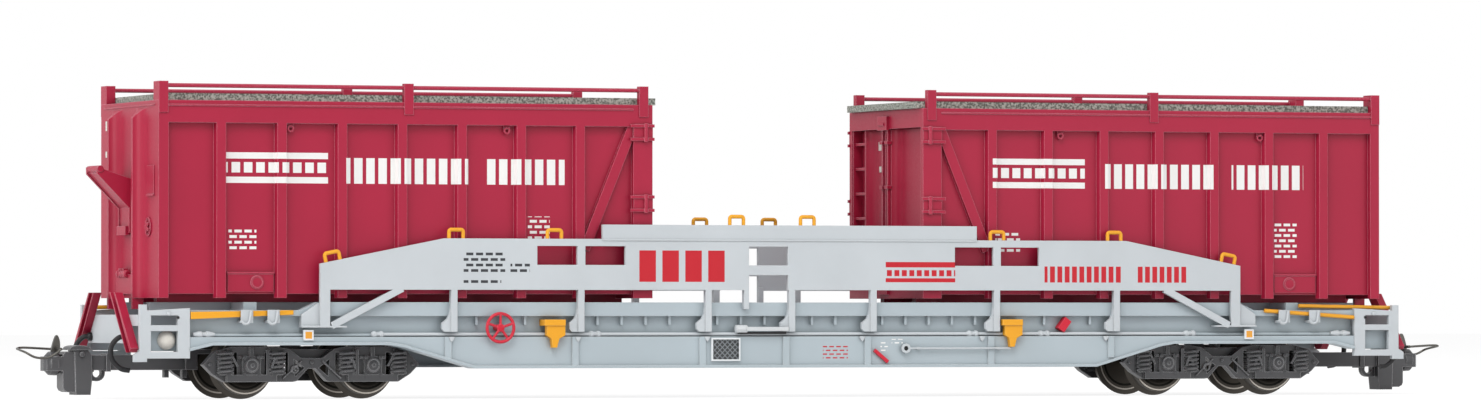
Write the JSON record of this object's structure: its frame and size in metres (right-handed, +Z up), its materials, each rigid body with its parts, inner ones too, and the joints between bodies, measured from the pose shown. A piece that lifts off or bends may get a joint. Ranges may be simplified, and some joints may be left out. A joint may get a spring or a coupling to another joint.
{
  "type": "model bogie flatcar with two containers",
  "caption": "Metre-gauge model flatcar with fish-belly sills, side trusses, swivelling bogies, loop couplers and roll-off containers.",
  "frame": {"origin": "centre of the model at the lowest point of the wheel flanges", "axes": "+X along the wagon to the right end, +Y to the far side, +Z up"},
  "size_m": [0.2272, 0.032, 0.0456],
  "materials": {
    "crimson": "satin painted moulding",
    "light_grey": "satin painted moulding",
    "blue_grey": "satin painted moulding",
    "bogie_black": "matt dark grey moulding",
    "wheel_metal": "blackened metal with a bright tread",
    "axle_steel": "turned steel",
    "coupler_metal": "blackened wire",
    "yellow": "satin painted moulding",
    "red": "satin painted moulding",
    "cover_grey": "fine speckled surface",
    "mesh_grey": "printed white edge and dark mesh",
    "pale": "pearl white",
    "silver": "silver-grey moulding",
    "hose_black": "black moulding",
    "reflector": "amber square on white"
  },
  "bodies": {
    "wagon": {"side_sill_near": "blue_grey", "side_sill_far": "blue_grey", "deck_frame": "blue_grey", "swivel_plates": "blue_grey", "truss_near": "light_grey", "truss_far": "light_grey", "end_frames_left": "light_grey", "end_frames_right": "light_grey", "headstock_left": "light_grey", "headstock_right": "light_grey", "end_arms": "crimson", "brake_hoses": "hose_black", "lashing_loops": "yellow", "handwheels": "red", "brake_boxes": "yellow", "card_holders": "mesh_grey", "release_handles": "silver", "brake_pipes": "blue_grey", "red_fittings": "red", "drain_rods": "light_grey", "reflectors": "reflector", "lock_rods": "yellow", "rod_clips": "light_grey", "corner_domes": "pale", "container_left_tub": "crimson", "container_left_doors": "crimson", "container_left_door_fittings": "crimson", "container_left_cover": "cover_grey", "container_left_top_rods": "crimson", "container_left_bail": "crimson", "container_right_tub": "crimson", "container_right_doors": "crimson", "container_right_door_fittings": "crimson", "container_right_cover": "cover_grey", "container_right_top_rods": "crimson", "container_right_bail": "crimson"},
    "bogie_left": {"bogie_left_side_near": "bogie_black", "bogie_left_side_far": "bogie_black", "bogie_left_bolster": "bogie_black", "bogie_left_coupler": "bogie_black", "bogie_left_coupler_loop": "coupler_metal"},
    "bogie_right": {"bogie_right_side_near": "bogie_black", "bogie_right_side_far": "bogie_black", "bogie_right_bolster": "bogie_black", "bogie_right_coupler": "bogie_black", "bogie_right_coupler_loop": "coupler_metal"},
    "wheelset_1": {"wheels_1": "wheel_metal", "axle_1": "axle_steel"},
    "wheelset_2": {"wheels_2": "wheel_metal", "axle_2": "axle_steel"},
    "wheelset_3": {"wheels_3": "wheel_metal", "axle_3": "axle_steel"},
    "wheelset_4": {"wheels_4": "wheel_metal", "axle_4": "axle_steel"}
  },
  "joints": [
    {"name": "bogie_left_swivel", "type": "hinge", "parent": "wagon", "child": "bogie_left", "pos_m": [-0.0725, 0, 0.0066], "axis": [0, 0, 1], "range_deg": [-12, 12]},
    {"name": "bogie_right_swivel", "type": "hinge", "parent": "wagon", "child": "bogie_right", "pos_m": [0.0725, 0, 0.0066], "axis": [0, 0, 1], "range_deg": [-12, 12]},
    {"name": "wheelset_1_turn", "type": "hinge", "parent": "bogie_left", "child": "wheelset_1", "pos_m": [-0.0817, 0, 0.0049], "axis": [0, 1, 0], "continuous": true},
    {"name": "wheelset_2_turn", "type": "hinge", "parent": "bogie_left", "child": "wheelset_2", "pos_m": [-0.0633, 0, 0.0049], "axis": [0, 1, 0], "continuous": true},
    {"name": "wheelset_3_turn", "type": "hinge", "parent": "bogie_right", "child": "wheelset_3", "pos_m": [0.0633, 0, 0.0049], "axis": [0, 1, 0], "continuous": true},
    {"name": "wheelset_4_turn", "type": "hinge", "parent": "bogie_right", "child": "wheelset_4", "pos_m": [0.0817, 0, 0.0049], "axis": [0, 1, 0], "continuous": true}
  ]
}
